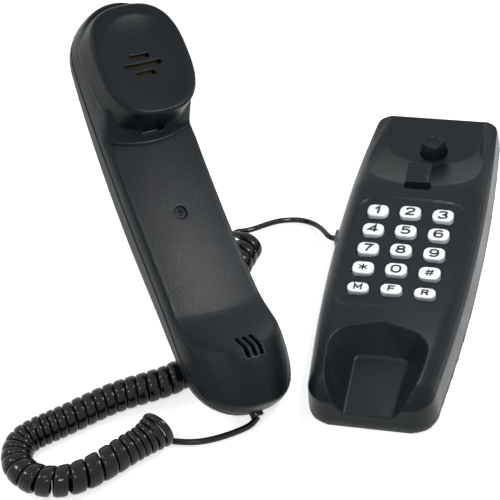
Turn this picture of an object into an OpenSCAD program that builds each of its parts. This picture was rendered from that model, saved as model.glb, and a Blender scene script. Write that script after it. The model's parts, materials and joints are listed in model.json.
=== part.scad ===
// Slimline wall telephone: a wedge base with a keypad, lying on its back,
// its handset off the hook and leaning on the bunched curly cord.
// Frame: origin at the middle of the base's back face, +Y to the earpiece end, +Z out of the face.

/* [Base] */
// Length of the base
base_l = 196; // [186:1:206]
// Width of the base where it is widest
base_w = 71.8; // [66:0.1:76]
// Radius of the long bulge of each side
side_r = 820; // [600:10:1400]
// Height of the back plate
plate_t = 3.2; // [2.4:0.1:4]
// Height of the crease between the skirt and the flank
crease_z = 15.5; // [14:0.1:17]
// Height of the face on the centre line
face_z = 24.9; // [24:0.1:27]
// Radius of the face's crown, side to side
crown_r = 180; // [140:5:400]
// Height of the face at the earpiece end
nose_z = 14.2; // [13:0.1:16]
// Radius of the corners at the mouth end
low_corner_r = 13; // [9:0.5:16]
// Radius of the corners at the earpiece end
top_corner_r = 9; // [6:0.5:12]
// Wall of the base shell over the keypad
shell_t = 2.2; // [1.8:0.1:2.6]
// Width of the V groove at each seam
seam_w = 0.9; // [0.5:0.1:1.2]

/* [Ear recess] */
// Height of the recess floor
ear_floor_z = 12.5; // [12:0.1:13.5]
// Half width of the floor
ear_half = 23.4; // [22:0.1:25]
// How far the wall spreads from the floor to the rim
ear_spread = 10.4; // [9:0.1:11]
// Where the floor ends, along the base
ear_y = 61; // [58:0.5:64]
// Where the ridge stands, along the base
ridge_y = 34.5; // [33:0.5:36]

/* [Mouth well] */
// Height of the well floor
well_floor_z = 10; // [9:0.1:11]
// Half width of the floor
well_half = 12.6; // [11:0.1:14]
// Half width of the rim
well_rim = 25.2; // [24:0.1:26]
// Where the floor ends, along the base
well_y = -62.5; // [-65:0.5:-60]
// Where the rim ends, along the base
well_rim_y = -53; // [-55:0.5:-51]

/* [Wall mounting] */
// Distance between the two keyholes
keyhole_spacing = 100; // [96:0.5:104]
// Middle of the two keyholes, along the base
keyhole_mid = -8; // [-9:0.5:-7]
// Radius of a keyhole's round entry
keyhole_r = 4.5; // [4:0.1:4.8]
// Half width of a keyhole's slot
keyhole_slot_r = 2.3; // [2:0.1:2.6]
// How far the slot rises above the entry
keyhole_rise = 8; // [7:0.5:9]

/* [Keypad] */
// Spacing of the key columns
pitch_x = 16; // [15.5:0.1:17]
// Spacing of the key rows
pitch_y = 12.7; // [12:0.1:13.2]
// Middle of the keypad, along the base
pad_y = -8.2; // [-10:0.1:-6]
// Width of a key
key_w = 10.4; // [9:0.1:11.5]
// Height of a digit key, along the base
key_h = 7.6; // [6.8:0.1:8.4]
// Height of a key in the bottom row
fn_key_h = 6.2; // [5.4:0.1:7]
// How far a key stands out of the panel
key_rise = 1.9; // [1.6:0.1:2.4]
// Travel of a key
key_travel = 1.4; // [1:0.1:1.5]
// Gap round a key in its window
key_gap = 0.25; // [0.2:0.05:0.4]
// Depth of the keypad panel below the face
panel_drop = 0.9; // [0.5:0.1:1.2]

/* [Hook switch] */
// Where the plunger stands, along the base
plunger_y = 73.2; // [72:0.1:74]
// Radius of the plunger at the floor
plunger_r = 6.3; // [5.6:0.1:6.4]
// How far the plunger stands out of the floor
plunger_rise = 7.4; // [6:0.1:8]
// Travel of the plunger
plunger_travel = 3.4; // [2.5:0.1:3.6]
// Width of the handset clip
clip_w = 12; // [10:0.1:13]
// Thickness of the handset clip
clip_t = 2.6; // [2:0.1:3]

/* [Handset] */
// Length of the handset
hs_l = 207; // [200:1:214]
// Width of the handle
hs_w = 47.4; // [45:0.2:49]
// How far the back bows, end to middle
hs_bow = 18; // [17:0.1:19]
// Depth of the back below the seam, at the middle
hs_deep = 15; // [14:0.1:16]
// Height of the grip panel at its middle
grip_z = 14; // [13.5:0.1:15]
// Height of the shoulder round the ear cup
ear_shoulder_z = 28; // [27:0.1:29]
// Height of the ear cup's rim
ear_rim_z = 37.4; // [36.5:0.1:38]
// Height of the mouth boss at its crest
mouth_z = 32; // [31:0.1:33]
// Width of the ear cup
cup_w = 48.6; // [47:0.1:49.5]
// Length of the ear cup
cup_l = 57; // [55:0.5:58]
// Half width of the dish in the ear cup
dish_w = 20.7; // [20:0.1:21.2]
// Half length of the dish
dish_l = 24.4; // [23:0.1:24.8]
// Depth of the dish
dish_deep = 4.2; // [3.5:0.1:5]

/* [Curly cord] */
// Width of the flat cord
cord_w = 4.2; // [3.8:0.1:4.4]
// Thickness of the flat cord
cord_t = 2.4; // [2.2:0.1:2.5]
// Outer diameter of the curls
coil_od = 15; // [14.6:0.1:15.2]
// Spacing of the curls on the front stretch
curl_open = 6.2; // [5.8:0.1:7]
// Spacing of the other curls
curl_shut = 5.1; // [5:0.05:5.4]
// Length of the front stretch
open_l = 60; // [40:1:80]

/* [Hidden] */
$fn = 64;

// Colours
BLACK = "#26282b";
GREY = "#3a3d40";
WHITE = "#f2f2ee";

// ---------- plane helpers ----------

function lerp(a, b, t) = a + (b - a) * t;
function clamp01(t) = min(1, max(0, t));
function ease(t) = let (c = clamp01(t)) c * c * (3 - 2 * c);
function unit(v) = v / norm(v);
function steps(a, b, n) = [for (i = [0:n]) lerp(a, b, i / n)];

// Rectangle with round corners, about the origin.
module rounded(w, h, r) {
    square([w - 2 * r, h], center = true);
    square([w, h - 2 * r], center = true);
    for (x = [-1, 1], y = [-1, 1]) translate([x * (w / 2 - r), y * (h / 2 - r)]) circle(r);
}

// Block with round corners and a bevelled top, from z0 to z1.
module soft_block(w, h, r, z0, z1, bevel) {
    translate([0, 0, z0]) linear_extrude(z1 - bevel - z0) rounded(w, h, r);
    translate([0, 0, z1 - bevel]) {
        rotate([90, 0, 90]) linear_extrude(w - 2 * r, center = true)
            polygon([[-h / 2, 0], [h / 2, 0], [h / 2 - bevel, bevel], [bevel - h / 2, bevel]]);
        rotate([90, 0, 0]) linear_extrude(h - 2 * r, center = true)
            polygon([[-w / 2, 0], [w / 2, 0], [w / 2 - bevel, bevel], [bevel - w / 2, bevel]]);
        for (x = [-1, 1], y = [-1, 1]) translate([x * (w / 2 - r), y * (h / 2 - r), 0])
            cylinder(h = bevel, r1 = r, r2 = r - bevel);
    }
}

// ---------- lofted shells ----------
// A lofted shell is a stack of rings. Each ring runs round a symmetric outline whose right side is a
// list of [x, y]; both ends are straight and cut into `cols` steps, so that a grid can close the top.

cols = 12;

// The points of one ring, counter-clockwise seen from +Z, with z from height(x, y).
function ring(right, height) =
    let (m = len(right), first = right[0], last = right[m - 1])
    [for (p = concat(
        [for (i = [0:cols]) [lerp(-first[0], first[0], i / cols), first[1]]],
        [for (i = [1:m - 1]) right[i]],
        [for (i = [1:cols]) [lerp(last[0], -last[0], i / cols), last[1]]],
        [for (i = [m - 2:-1:1]) [-right[i][0], right[i][1]]])) [p[0], p[1], height(p[0], p[1])]];

// The points inside the last ring, row by row; shift(x, y) bends a row along the outline.
function inner_grid(right, height, shift) =
    [for (i = [1:len(right) - 2], j = [1:cols - 1])
        let (x = lerp(-right[i][0], right[i][0], j / cols), y = right[i][1] + shift(x, right[i][1], right[i][0]))
        [x, y, height(x, y)]];

// Index of row i, column j of the closing grid, for a ring of m rows that starts at point n0.
function grid_at(i, j, m, n0, g0) =
    i == 0 ? n0 + j :
    j == cols ? n0 + cols + i :
    i == m - 1 ? n0 + cols + m - 1 + (cols - j) :
    j == 0 ? n0 + 2 * cols + m - 1 + (m - 1 - i) :
    g0 + (i - 1) * (cols - 1) + j - 1;

// Row i of the bottom ring, left to right.
function bottom_row(i, m) =
    i == 0 ? [for (j = [0:cols]) j] :
    i == m - 1 ? [for (j = [cols:-1:0]) cols + m - 1 + j] :
    [2 * cols + 2 * m - 2 - i, cols + i];
function reversed(v) = [for (i = [len(v) - 1:-1:0]) v[i]];

// Solid through the rings, with a bottom made of strips along X and a grid top, or a top of strips too.
module loft(rings, grid) {
    n = len(rings[0]);
    m = n / 2 - cols + 1;
    top = (len(rings) - 1) * n;
    g0 = len(rings) * n;
    sides = [for (r = [0:len(rings) - 2], i = [0:n - 1])
        let (a = r * n + i, b = r * n + (i + 1) % n, c = b + n, d = a + n) each [[a, c, b], [a, d, c]]];
    first = bottom_row(1, m);
    bottom = concat([concat([first[0]], bottom_row(0, m), [first[1]])],
        [for (i = [1:m - 2]) concat(bottom_row(i, m), reversed(bottom_row(i + 1, m)))]);
    lid = [for (f = bottom) [for (k = [0:len(f) - 1]) top + f[(len(f) - k) % len(f)]]];
    cap = [for (i = [0:m - 2], j = [0:cols - 1])
        let (a = grid_at(i, j, m, top, g0), b = grid_at(i, j + 1, m, top, g0),
            c = grid_at(i + 1, j + 1, m, top, g0), d = grid_at(i + 1, j, m, top, g0))
        each [[a, c, b], [a, d, c]]];
    polyhedron(concat([for (r = rings) each r], grid), concat(bottom, sides, len(grid) > 0 ? cap : lid));
}

// ---------- the base ----------

low_end = -base_l / 2;
top_end = base_l / 2;
side_peak_y = 8;
flank_in = [0.9, 2.2, 4, 5.9, 7.7, 10];
flank_low_in = [0.8, 3.2, 5.8, 8, 9.8, 12];
flank_top_in = [0.3, 0.5, 0.8, 1.2, 1.8, 2.6];
flank_up = [0, 0.38, 0.68, 0.87, 0.96, 1];
decline_y = 38;
crease_drop = 2.6;

function side_x(y) = base_w / 2 - pow(y - side_peak_y, 2) / (2 * side_r);
function side_lean(y) = atan((y - side_peak_y) / side_r);

// Right side of the base's outline, drawn in by side, low and top amounts.
function base_right(side, low, top) =
    let (
        y0 = low_end + low, y1 = top_end - top,
        r0 = low_corner_r - min(side, low), r1 = top_corner_r - min(side, top_corner_r - 3),
        ya = y0 + r0, yb = y1 - r1,
        la = side_lean(ya), lb = side_lean(yb),
        ca = [side_x(ya) - side - r0 * cos(la), ya], cb = [side_x(yb) - side - r1 * cos(lb), yb])
    concat(
        [for (a = steps(-90, la, 9)) ca + r0 * [cos(a), sin(a)]],
        [for (i = [1:25]) let (y = lerp(ya - r0 * sin(-la), yb + r1 * sin(lb), i / 26)) [side_x(y) - side, y]],
        [for (a = steps(lb, 90, 7)) cb + r1 * [cos(a), sin(a)]]);

// Height of the face: crowned across, falling to the earpiece end.
function fall(y) = pow(clamp01((y - decline_y) / (top_end - decline_y)), 1.35);
function face_at(x, y) = face_z - x * x / (2 * crown_r) - (face_z - nose_z) * fall(y);

module base_body() {
    flat = function (z) function (x, y) z;
    flank = function (up) function (x, y) lerp(crease_z - crease_drop * fall(y), face_at(x, y), up);
    last = len(flank_in) - 1;
    rings = concat(
        [ring(base_right(0.5, 0.5, 0.5), flat(plate_t)),
        ring(base_right(0, 0, 0), flat(plate_t + seam_w / 2))],
        [for (i = [0:last]) ring(base_right(flank_in[i], flank_low_in[i], flank_top_in[i]), flank(flank_up[i]))]);
    loft(rings, inner_grid(base_right(flank_in[last], flank_low_in[last], flank_top_in[last]),
        function (x, y) face_at(x, y), function (x, y, e) 0));
}

// Outline of a recess that is open at its far end: far and near are half widths, in y order.
function recess_right(far, near, y_near, y_far, r, bow) =
    let (s = y_far > y_near ? 1 : -1, c = [near - r, y_near + s * (r + bow)])
    concat([[0, y_near]], [for (a = steps(-90, 0, 8)) c + r * [cos(a), s * sin(a)]], [[far, y_far]]);
function both_sides(right) = concat(right, [for (p = reversed(right)) if (p[0] > 0) [-p[0], p[1]]]);

// Tapered recess between a floor outline and a rim outline.
module recess(floor_pts, floor_z, rim_pts, rim_z) {
    hull() {
        translate([0, 0, floor_z]) linear_extrude(0.01) polygon(both_sides(floor_pts));
        translate([0, 0, rim_z]) linear_extrude(0.01) polygon(both_sides(rim_pts));
    }
}

open_end = 6;
rim_z = face_z + 0.4;
module ear_recess() {
    recess(recess_right(ear_half, ear_half, ear_y, top_end + open_end, 11, 6), ear_floor_z,
        recess_right(ear_half + ear_spread, ear_half + ear_spread, ridge_y, top_end + open_end, 8, 4), rim_z);
}
module mouth_well() {
    recess(recess_right(well_half - 1.5, well_half, well_y, low_end - open_end, 2.5, 0.6), well_floor_z,
        recess_right(well_rim - 5, well_rim, well_rim_y, low_end - open_end, 13, 3), rim_z);
}

// Keypad places: column -1 to 1 and row 2 to -2.
function pad_at(col, row) = [col * pitch_x, pad_y + row * pitch_y];
function panel_z(x) = face_z - panel_drop - x * x / (2 * crown_r);
function row_h(row) = row == -2 ? fn_key_h : key_h;
key_corner_r = 3;
panel_w = 55;
panel_l = 71;
panel_mid = pad_y;
panel_corner_r = 9;

// A long cylinder along Y whose top is z above the base, for crowned faces.
module crown_bar(z, l) {
    translate([0, 0, z - crown_r]) rotate([90, 0, 0]) cylinder(h = l, r = crown_r, center = true, $fn = 180);
}

keyhole_y = [for (k = [-0.5, 0.5]) keyhole_mid + k * keyhole_spacing];
stud_room = 1;
stud_top = 7.4;

// Chamber of the base, for the boards.
chamber_w = 58;
chamber_y0 = -49;
chamber_y1 = 31;
roof_z = face_z - panel_drop - shell_t;
pocket_r = 9.5;
pocket_top = ear_floor_z - shell_t;
board_bay = [-8, 48, 30, 40];
clip_gap = 0.3;
clip_y = 36.5;
clip_top = 27;
clip_foot = 14;
clip_pitch = 13.9;
clip_l = 10.8;
clip_pocket = [34.3, 21.9];
plunger_x = 1.2;
pilot_r = 1.35;
screw_at = [[-24, -76], [24, -76], [-26, 85], [26, 85]];
pilot_top = 10;

jack_y = 38.5;
socket_y = 11;
jack_w = 12;
jack_h = 9;
jack_z = plate_t + 1.2;

module base_shell() {
    color(BLACK) difference() {
        base_body();
        ear_recess();
        mouth_well();
        difference() {
            translate([0, panel_mid, face_z - 6]) linear_extrude(12) rounded(panel_w, panel_l, panel_corner_r);
            crown_bar(face_z - panel_drop, 2 * base_l);
        }
        intersection() {
            translate([-chamber_w / 2, chamber_y0, 0]) cube([chamber_w, chamber_y1 - chamber_y0, 40]);
            crown_bar(roof_z, 2 * base_l);
        }
        translate([board_bay[0] - 12, chamber_y1 - 1, 0]) cube([40, plunger_y + 12 - chamber_y1, pocket_top - 1]);
        translate([plunger_x, plunger_y, 0]) cylinder(h = pocket_top, r = pocket_r);
        translate([plunger_x, plunger_y, 0]) cylinder(h = 30, r = plunger_r + 0.3);
        for (c = [-1:1], r = [-2:2]) translate([pad_at(c, r)[0], pad_at(c, r)[1], roof_z - 4])
            linear_extrude(12) rounded(key_w + 2 * key_gap, row_h(r) + 2 * key_gap, key_corner_r + key_gap);
        translate([-clip_w / 2 - clip_gap, clip_pocket[0], clip_pocket[1]])
            cube([clip_w + 2 * clip_gap, clip_y - clip_pocket[0] + 1, 8]);
        translate([-clip_w / 2 - clip_gap, clip_y - clip_gap, clip_foot - clip_gap])
            cube([clip_w + 2 * clip_gap, clip_t + 2 * clip_gap, 16]);
        for (y = keyhole_y) translate([-keyhole_r - stud_room, y - keyhole_r - stud_room, 0])
            cube([2 * (keyhole_r + stud_room), 2 * (keyhole_r + stud_room) + keyhole_rise, stud_top]);
        for (y = [socket_y, jack_y]) translate([-base_w / 2 - 1, y - jack_w / 2, jack_z]) cube([14, jack_w, jack_h]);
        translate([-chamber_w / 2, chamber_y1 - 5, 0]) cube([14, jack_y + jack_w / 2 + 1 - chamber_y1 + 5, jack_z + jack_h + 1]);
        for (p = screw_at) translate([p[0], p[1], 0]) cylinder(h = pilot_top, r = pilot_r);
    }
}

screw_head_r = 2.8;
sounder_at = [14, 14];

module back_plate() {
    color(GREY) difference() {
        linear_extrude(plate_t) polygon([for (p = ring(base_right(0, 0, 0), function (x, y) 0)) [p[0], p[1]]]);
        for (y = keyhole_y) {
            translate([0, y, -1]) cylinder(h = plate_t + 2, r = keyhole_r);
            translate([0, y + keyhole_rise, -1]) cylinder(h = plate_t + 2, r = keyhole_slot_r);
            translate([-keyhole_slot_r, y, -1]) cube([2 * keyhole_slot_r, keyhole_rise, plate_t + 2]);
        }
        for (p = screw_at) translate([p[0], p[1], 0]) {
            translate([0, 0, -1]) cylinder(h = plate_t + 2, r = pilot_r + 0.3);
            translate([0, 0, -1]) cylinder(h = 2.4, r = screw_head_r + 0.4);
        }
        for (a = [0:60:300]) translate([sounder_at[0] + 5 * cos(a), sounder_at[1] + 5 * sin(a), -1])
            cylinder(h = plate_t + 2, r = 1.1, $fn = 24);
        translate([sounder_at[0], sounder_at[1], -1]) cylinder(h = plate_t + 2, r = 1.1, $fn = 24);
    }
}

// Screw along +Z with its head at the bottom and a cross in the head.
module screw(head_r, head_h, shank_r, l) {
    difference() {
        union() {
            cylinder(h = head_h, r = head_r);
            cylinder(h = l, r = shank_r);
        }
        for (a = [0, 90]) rotate([0, 0, a]) translate([-head_r * 0.6, -0.4, -1]) cube([head_r * 1.2, 0.8, 1 + head_h * 0.55]);
    }
}
module base_screws() {
    color("silver") for (p = screw_at) translate([p[0], p[1], 0.2]) screw(screw_head_r, 1.2, pilot_r - 0.05, pilot_top - 1);
}

mat_z = 15.6;
mat_t = 0.8;
board_t = 1.6;
dome_r = 2.6;
flange_t = 0.9;
flange_gap = 0.3;
flange_out = 1.2;
function key_foot(x) = roof_z - pow(abs(x) + key_w / 2 + flange_out, 2) / (2 * crown_r) - flange_gap - flange_t;
stem_gap = 0.35;

module keypad_mat() {
    color(GREY) {
        translate([-26, pad_y - 32, mat_z]) cube([52, 64, mat_t]);
        for (c = [-1:1], r = [-2:2]) translate([pad_at(c, r)[0], pad_at(c, r)[1], mat_z + mat_t])
            cylinder(h = key_foot(c * pitch_x) - key_travel - stem_gap - mat_z - mat_t, r1 = dome_r + 0.6, r2 = dome_r);
    }
}
module keypad_board() {
    color("darkgreen") translate([-27, pad_y - 34, mat_z - board_t]) cube([54, 68, board_t]);
}

main_z = 5.2;
chip = [12, 16, 2];
module main_board() {
    color("green") {
        translate([-16, chamber_y0 + 2, main_z]) cube([44, 78, board_t]);
        translate([-9, -30, main_z + board_t]) cube(chip);
        for (p = [[14, -34], [22, -20], [-4, 2]]) translate([p[0], p[1], main_z + board_t]) cylinder(h = 6, r = 3);
        for (p = [[12, -8], [-10, -42]]) translate([p[0], p[1], main_z + board_t]) cube([7, 3, 3]);
        for (p = [[-14, -45], [25, -45], [25, 26], [-14, 26]]) translate([p[0], p[1], plate_t]) cylinder(h = main_z - plate_t, r = 2);
        for (p = [[-12, -38], [20, -38]]) translate([p[0], p[1], main_z + board_t])
            cylinder(h = mat_z - 2 * board_t - main_z, r = 1.6);
    }
}
module sounder() {
    color("goldenrod") translate([sounder_at[0], sounder_at[1], main_z + board_t]) {
        cylinder(h = 4.5, r = 9);
        cylinder(h = 5.2, r = 2.5);
    }
}

spring_wire = 0.6;
spring_r = 4.4;
spring_turns = 4;
plunger_flange_z = pocket_top - 0.3 - 1.4;
module hook_plunger() {
    top = ear_floor_z + plunger_rise;
    color(BLACK) translate([plunger_x, plunger_y, 0]) rotate_extrude() polygon([
        [0, plunger_flange_z + 1], [2.6, plunger_flange_z + 1], [2.6, plunger_flange_z],
        [8.6, plunger_flange_z], [8.6, plunger_flange_z + 1.4],
        [plunger_r, plunger_flange_z + 1.4], [plunger_r, ear_floor_z + 2], [plunger_r - 0.4, ear_floor_z + 4.4],
        [plunger_r - 1.3, top - 0.6], [plunger_r - 1.8, top], [plunger_r - 2.4, top - 0.1],
        [plunger_r - 3.2, top - 0.8], [0, top - 1]]);
}

// Closed tube through rings of equal length.
module tube(rings) {
    n = len(rings[0]);
    last = len(rings) - 1;
    sides = [for (r = [0:last - 1], i = [0:n - 1])
        let (a = r * n + i, b = r * n + (i + 1) % n) each [[a, b + n, b], [a, a + n, b + n]]];
    polyhedron([for (r = rings) each r], concat([[for (i = [0:n - 1]) i]], sides,
        [[for (i = [n - 1:-1:0]) last * n + i]]));
}

module hook_spring() {
    z0 = plate_t + spring_wire / 2 + 0.1;
    z1 = plunger_flange_z - spring_wire / 2 - 0.1;
    turn = 12;
    color("silver") translate([plunger_x, plunger_y, 0]) tube([for (i = [0:spring_turns * turn])
        let (a = i * 360 / turn, z = lerp(z0, z1, i / (spring_turns * turn)), out = [cos(a), sin(a), 0])
        [for (k = [0:5]) spring_r * out + [0, 0, z] + spring_wire / 2 * (out * cos(k * 60) + [0, 0, 1] * sin(k * 60))]]);
}
module hook_switch() {
    color(GREY) {
        translate([11, plunger_y - 8, plate_t]) cube([7, 14, 5.6]);
        translate([6.6, plunger_y - 1.2, plate_t + 0.6]) cube([5, 2.4, 0.4]);
    }
}

// The clip: a foot in its slot and a tongue that leans out over the recess, with ridges for the thumb.
clip_ridges = 7;
module handset_clip() {
    color(BLACK) {
        translate([-clip_w / 2, clip_y, clip_foot]) cube([clip_w, clip_t, clip_top - 0.6 - clip_foot]);
        translate([0, clip_y, clip_top]) rotate([clip_pitch, 0, 0]) {
            translate([-clip_w / 2, 0, -clip_t]) cube([clip_w, clip_l, clip_t]);
            translate([-clip_w / 2, clip_l - 1.6, -0.1]) cube([clip_w, 1.6, 0.7]);
            for (i = [0:clip_ridges - 1]) translate([clip_w / 2 - 2.6, 0.8 + 1.2 * i, -0.1]) cube([1.8, 0.6, 0.5]);
        }
    }
}

jack_in = [7, 6];
jack_deep = 9;
jack_gap = 0.3;
module jack_body(y) {
    translate([-base_w / 2 + 2.4, y, jack_z + jack_h / 2]) difference() {
        translate([0, -jack_w / 2 + jack_gap, -jack_h / 2 + jack_gap])
            cube([13, jack_w - 2 * jack_gap, jack_h - 2 * jack_gap]);
        translate([-1, -jack_in[0] / 2, -jack_in[1] / 2]) cube([jack_deep + 1, jack_in[0], jack_in[1]]);
    }
}
module line_jack() { color(GREY) jack_body(jack_y); }
module cord_socket() { color(GREY) jack_body(socket_y); }

plug_out = 4;
plug_x = -base_w / 2 - 1.6;
module cord_plug() {
    color("lightgrey") translate([plug_x, socket_y, jack_z + jack_h / 2])
        translate([0, -jack_in[0] / 2 + 0.3, -jack_in[1] / 2 + 0.3])
            cube([jack_deep + 3.2, jack_in[0] - 0.6, jack_in[1] - 0.6]);
}

// One key: a bevelled cap and stem, with a flange under the panel.
module key(col, row) {
    at = pad_at(col, row);
    h = row_h(row);
    foot = key_foot(at[0]);
    color(WHITE) translate([at[0], at[1], 0]) {
        soft_block(key_w, h, key_corner_r, foot, panel_z(at[0]) + key_rise, 0.5);
        translate([0, 0, foot]) linear_extrude(flange_t)
            rounded(key_w + 2 * flange_out, h + 2 * flange_out, key_corner_r + flange_out);
    }
}
module key_1() { key(-1, 2); }
module key_2() { key(0, 2); }
module key_3() { key(1, 2); }
module key_4() { key(-1, 1); }
module key_5() { key(0, 1); }
module key_6() { key(1, 1); }
module key_7() { key(-1, 0); }
module key_8() { key(0, 0); }
module key_9() { key(1, 0); }
module key_star() { key(-1, -1); }
module key_0() { key(0, -1); }
module key_hash() { key(1, -1); }
module key_m() { key(-1, -2); }
module key_f() { key(0, -2); }
module key_r() { key(1, -2); }

// ---------- the handset ----------
// Own frame: x across, y from the mouth end to the ear end, z out of the face.

hs_pos = [-59.8, -96, -5.8];
hs_heading = 33.9;
hs_rise = 32.1;
hs_roll = 20.4;
module place_handset() {
    translate(hs_pos) rotate([hs_rise, 0, hs_heading]) rotate([0, hs_roll, 0]) children();
}

end_r = 23.5;
cup_y = 172.5;
seam_z = 6.8;
seam_bow = 8.5;
grip_bow = 5.8;
grip_end = 52;
crest_y = 27.8;
crest_r = 34;
crest_flat = 5.6;
lip = 0.6;
dish_y = 170.6;
trough_y = 137;
trough_deep = 0.7;
shoulder_y = 148;

function end_ness(y) = pow((y - hs_l / 2) / (hs_l / 2), 2);
function back_z(y) = seam_z - hs_deep + hs_bow * end_ness(y);
function seam_at(y) = seam_z + seam_bow * end_ness(y);
function hs_half(y) = hs_w / 2 + 2.2 * exp(-pow((y - 26) / 28, 2)) + 0.5 * exp(-pow((y - cup_y) / 30, 2));
hs_rows = concat([24.5, 27], steps(29, 59, 18), steps(66, 132, 7), [136, 138.5, 139.5, 140.5, 141.5],
    steps(143, 155, 6), steps(160, 182, 4));

// Right side of the handset's outline, drawn in all round, and more at the ends.
function hs_right(side, low, top) =
    let (ra = end_r - side, rb = end_r - side, ya = end_r + low - side, yb = hs_l - end_r - top + side)
    concat(
        [for (a = steps(-90, 0, 9)) [hs_half(end_r) - end_r, ya] + ra * [cos(a), sin(a)] ],
        [for (y = hs_rows) if (y > ya + 0.5 && y < yb - 0.5) [hs_half(y) - side, y]],
        [for (a = steps(0, 90, 9)) [hs_half(hs_l - end_r) - end_r, yb] + rb * [cos(a), sin(a)] ]);

// How far a row bends to the mouth end on the centre line.
function smile(x, y, e) = -(1 - pow(x / e, 2))
    * (9 * exp(-pow((y - 39) / 15, 2)) + 4.5 * exp(-pow((y - 142) / 8, 2)));
function on_grip(y) = clamp01((y - 50) / 8) * clamp01((140 - y) / 3);
function grip_at(x, y) = grip_z + grip_bow * end_ness(y) + 1.2 * (1 - pow(x / 22, 2));

// Height of the face side before the ear cup is added.
function hs_top(x, y) =
    let (
        k = pow(x / 21, 2),
        crest = crest_y + crest_r - sqrt(max(0, crest_r * crest_r - x * x)),
        grip_lo = grip_end + 4 * k, trough = trough_y + 4.5 * k,
        g = grip_at(x, y),
        dome = mouth_z - 9 * k,
        past = max(0, crest - crest_flat - y),
        boss = dome - 0.1 * past - 0.006 * pow(past, 2),
        low = y < crest ? boss : lerp(g, dome, pow(clamp01((grip_lo - y) / (grip_lo - crest)), 1.7)),
        dip = trough_deep * clamp01((y - trough) / 1.2),
        up = pow(clamp01((y - trough - 1.2) / (shoulder_y - trough_y - 1.2)), 1.1))
    y < 90 ? low : lerp(g - dip, ear_shoulder_z - 1.5 * k, up);

lower_up = [0, 0.07, 0.22, 0.42, 0.95, 1];
lower_in = [9, 4.6, 1.9, 0.8, 0.1, 0.6];
upper_up = [0, 0.05, 0.5, 0.8, 0.93, 1, 1];
upper_in = [0.6, 0.1, 0.2, 0.6, 1, 1.6, 2.3];

module hs_back_body() {
    height = function (up) function (x, y) lerp(back_z(y), seam_at(y), up);
    loft([for (i = [0:len(lower_in) - 1]) ring(hs_right(lower_in[i], lower_in[i], lower_in[i]), height(lower_up[i]))], []);
}
module hs_face_body() {
    last = len(upper_in) - 1;
    height = function (i) function (x, y) lerp(seam_at(y), hs_top(x, y) + (i < last ? lip * on_grip(y) : 0), upper_up[i]);
    loft([for (i = [0:last]) ring(hs_right(upper_in[i], upper_in[i], upper_in[i]), height(i))],
        inner_grid(hs_right(upper_in[last], upper_in[last], upper_in[last]),
            function (x, y) hs_top(x, y), function (x, y, e) smile(x, y, e)));
}

// One quarter turn of a superellipse, from the -Y end to the +X side and on to the +Y end.
function egg_right(w, l, power, n) = [for (i = [0:2 * n]) let (a = -90 + 90 * i / n)
    [w * pow(abs(cos(a)), 2 / power), l * sign(sin(a)) * pow(abs(sin(a)), 2 / power)]];
function egg(w, l, power, n, z) = let (r = egg_right(w, l, power, n))
    [for (p = concat(r, [for (i = [len(r) - 2:-1:1]) [-r[i][0], r[i][1]]])) [p[0], p[1], z]];

// The ear cup: an oval boss with a rounded rim, and the oval dish sunk in it.
cup_power = 2.7;
dish_power = 2.2;
cup_in = [-1, 0, 0.2, 0.7, 1.3, 2];
cup_up = [0, 0.82, 0.9, 0.96, 0.99, 1];
dish_in = [1, 0.94, 0.85, 0.73, 0.6, 0.45, 0.3];
dish_fall = [0, 0.2, 0.4, 0.62, 0.8, 0.93, 1];
module ear_cup() {
    tube([for (i = [0:5]) egg(cup_w / 2 - cup_in[i], cup_l / 2 - cup_in[i], cup_power, 14,
        lerp(ear_shoulder_z - 6, ear_rim_z, cup_up[i]))]);
}
module ear_dish() {
    top = egg(dish_w + 0.3, dish_l + 0.3, dish_power, 14, ear_rim_z + 0.5);
    tube(concat([for (i = [6:-1:0]) egg(dish_w * dish_in[i], dish_l * dish_in[i], dish_power, 14,
        ear_rim_z - dish_deep * dish_fall[i])], [top]));
}

capsule_r = 15.5;
cup_floor = ear_rim_z - dish_deep;
boot_r = 8;
mic_y = 21;
mic_slot_y = 28.4;
hs_screw_y = 101.4;
bar_w = 24;
grip_floor = 3.4;
module hs_cavity() {
    translate([0, cup_y, back_z(cup_y + 17) + 2.6]) cylinder(h = cup_floor - 2 - back_z(cup_y + 17) - 2.6, r = 17);
    translate([-bar_w / 2 - 3, 42, grip_floor]) cube([bar_w + 6, 112, grip_z - 2.2 - grip_floor]);
    translate([0, mic_y, 8]) cylinder(h = 18, r = 8.6);
    translate([-6, 12, 9]) cube([12, 32, 4]);
}

bush_z = 12.5;
bush_r = 3.4;
bush_out = 1.6;
module handset_face() {
    color(BLACK) place_handset() difference() {
        union() {
            hs_face_body();
            translate([0, cup_y, 0]) ear_cup();
        }
        translate([0, dish_y, 0]) ear_dish();
        hs_cavity();
        for (i = [-1:1]) translate([0, dish_y + 4.4 * i, cup_floor - 4]) linear_extrude(8)
            rounded(i == 0 ? 20 : 10.5, 1.9, 0.9);
        for (i = [-1:1]) translate([0.6 + 3.7 * i, mic_slot_y, mouth_z - 8]) linear_extrude(16)
            rounded(1.8, 11.4, 0.85);
        translate([0, trough_y + 6, grip_z + 1]) linear_extrude(14) rounded(12, 2.4, 1.1);
        translate([0, hs_screw_y, 12.5]) cylinder(h = 10, r = 3.1);
        translate([0, hs_screw_y, 0]) cylinder(h = 20, r = 1.6);
        translate([0, -1, bush_z]) rotate([-90, 0, 0]) cylinder(h = 16, r = bush_r);
    }
}
module handset_back() {
    color(BLACK) place_handset() difference() {
        hs_back_body();
        hs_cavity();
        translate([0, hs_screw_y, -3.6]) cylinder(h = 20, r = 1.35);
        translate([0, -1, bush_z]) rotate([-90, 0, 0]) cylinder(h = 16, r = bush_r);
    }
}
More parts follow.
